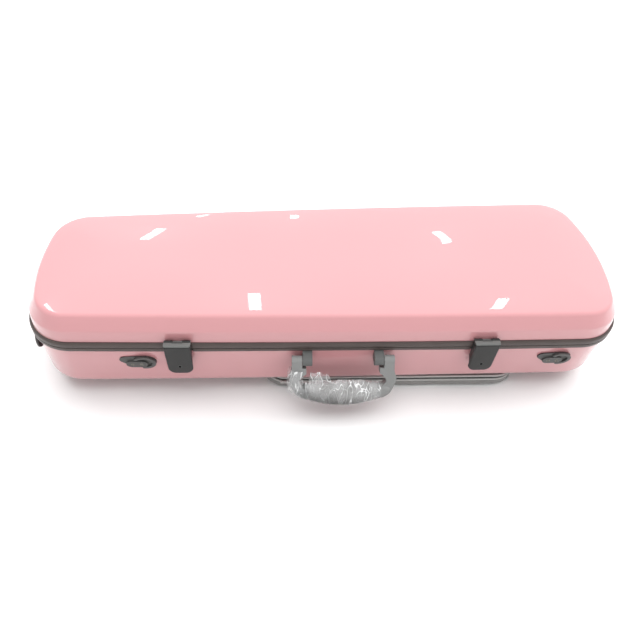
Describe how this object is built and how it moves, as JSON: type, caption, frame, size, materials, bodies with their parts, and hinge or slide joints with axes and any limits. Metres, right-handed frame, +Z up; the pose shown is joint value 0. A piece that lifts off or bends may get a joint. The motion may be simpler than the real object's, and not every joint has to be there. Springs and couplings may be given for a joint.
{
  "type": "violin case",
  "caption": "Hard oblong violin case with a hinged crowned lid, draw latches, swinging carry handle, strap hooks, padded bed and a zipped pocket under the base.",
  "frame": {"origin": "On the underside of the pocket, on the floor, below the middle of the case's plan", "axes": "+X along the front wall towards the wide body end, -Y out of the front with the latches and handle, +Z up"},
  "size_m": [0.8039, 0.3175, 0.1507],
  "materials": {
    "shell": "glossy lacquered moulding, pale pink",
    "band": "dark grey, smooth",
    "seal": "soft black strip",
    "velvet": "short plush pile over foam",
    "strap": "woven strap",
    "box_cloth": "plush over board",
    "steel": "bright turned steel",
    "hinge_metal": "dark coated sheet",
    "latch_plastic": "dark moulding with a soft shine",
    "handle_plastic": "dark grey, fine satin",
    "grip_rubber": "soft satin grip",
    "film": "thin clear crinkled film",
    "hook_plastic": "grey satin moulding",
    "foot_rubber": "black rubber",
    "pocket_cloth": "padded woven nylon",
    "piping_vinyl": "covered cord edging",
    "zip_cloth": "woven tape",
    "zip_coil": "coil teeth",
    "zip_metal": "black coated casting",
    "spinner_plastic": "black moulding",
    "tip_cloth": "stitched plush"
  },
  "bodies": {
    "base": {"base_shell": "shell", "base_rim": "band", "rim_seal": "seal", "base_lining": "velvet", "neck_cradle": "velvet", "neck_strap": "strap", "accessory_tray": "box_cloth", "accessory_box": "box_cloth", "accessory_pin": "steel", "hinge_leaf_base_scroll_end": "hinge_metal", "hinge_leaf_base_middle": "hinge_metal", "hinge_leaf_base_body_end": "hinge_metal", "hinge_pin_scroll_end": "steel", "hinge_pin_middle": "steel", "hinge_pin_body_end": "steel", "hinge_screws_base": "steel", "handle_lug_left": "handle_plastic", "handle_lug_right": "handle_plastic", "handle_pin_left": "steel", "handle_pin_right": "steel", "latch_keeper_left": "hinge_metal", "latch_keeper_right": "hinge_metal", "keeper_rivets": "steel", "strap_hook_front_left": "hook_plastic", "strap_hook_front_right": "hook_plastic", "strap_hook_scroll_end": "hook_plastic", "strap_hook_body_end": "hook_plastic", "hook_screws": "steel", "spine_feet": "foot_rubber", "pocket_body": "pocket_cloth", "piping_lower": "piping_vinyl", "piping_upper": "piping_vinyl", "zip_tape": "zip_cloth", "zip_teeth": "zip_coil"},
    "lid": {"lid_shell": "shell", "lid_rim": "band", "lid_lining": "velvet", "hinge_leaf_lid_scroll_end": "hinge_metal", "hinge_leaf_lid_middle": "hinge_metal", "hinge_leaf_lid_body_end": "hinge_metal", "hinge_screws_lid": "steel", "latch_bracket_left": "hinge_metal", "latch_bracket_right": "hinge_metal", "latch_pin_left": "steel", "latch_pin_right": "steel", "bow_holder_front": "velvet", "bow_holder_back": "velvet", "bow_tip_pocket_front": "tip_cloth", "bow_tip_pocket_back": "tip_cloth"},
    "latch_left": {"latch_left": "latch_plastic"},
    "latch_right": {"latch_right": "latch_plastic"},
    "handle": {"handle_frame": "handle_plastic", "handle_grip": "grip_rubber", "grip_film": "film"},
    "accessory_lid": {"accessory_lid": "box_cloth", "accessory_lid_tab": "strap"},
    "bow_spinner_front": {"bow_spinner_front": "spinner_plastic"},
    "bow_spinner_back": {"bow_spinner_back": "spinner_plastic"},
    "zip_slider": {"zip_slider": "zip_metal"},
    "zip_pull": {"zip_pull": "zip_metal"}
  },
  "joints": [
    {"name": "lid_hinge", "type": "hinge", "parent": "base", "child": "lid", "pos_m": [-0.00391, 0.12889, 0.09965], "axis": [-0.9983, -0.0587, 0], "range_deg": [0, 100]},
    {"name": "latch_left_hinge", "type": "hinge", "parent": "lid", "child": "latch_left", "pos_m": [-0.19751, -0.12477, 0.1123], "axis": [-1, 0.0094, 0], "range_deg": [0, 90]},
    {"name": "latch_right_hinge", "type": "hinge", "parent": "lid", "child": "latch_right", "pos_m": [0.19751, -0.12477, 0.1123], "axis": [-1, -0.0094, 0], "range_deg": [0, 90]},
    {"name": "handle_hinge", "type": "hinge", "parent": "base", "child": "handle", "pos_m": [0.0125, -0.1317, 0.084], "axis": [-1, 0, 0], "range_deg": [-25, 91]},
    {"name": "box_lid_hinge", "type": "hinge", "parent": "base", "child": "accessory_lid", "pos_m": [-0.11826, -0.0611, 0.0924], "axis": [-0.9996, -0.0294, 0], "range_deg": [0, 95]},
    {"name": "spinner_front_turn", "type": "hinge", "parent": "lid", "child": "bow_spinner_front", "pos_m": [0.269, -0.03011, 0.12], "axis": [0, 0, 1], "range_deg": [0, 90]},
    {"name": "spinner_back_turn", "type": "hinge", "parent": "lid", "child": "bow_spinner_back", "pos_m": [0.26677, 0.04585, 0.12], "axis": [0, 0, 1], "range_deg": [0, 90]},
    {"name": "zip_slide", "type": "slide", "parent": "base", "child": "zip_slider", "axis": [1, 0, 0], "range_m": [0, 0.28]},
    {"name": "zip_pull_hinge", "type": "hinge", "parent": "zip_slider", "child": "zip_pull", "pos_m": [-0.048, -0.11735, 0.01615], "axis": [0, 0, 1], "range_deg": [0, 175]}
  ]
}
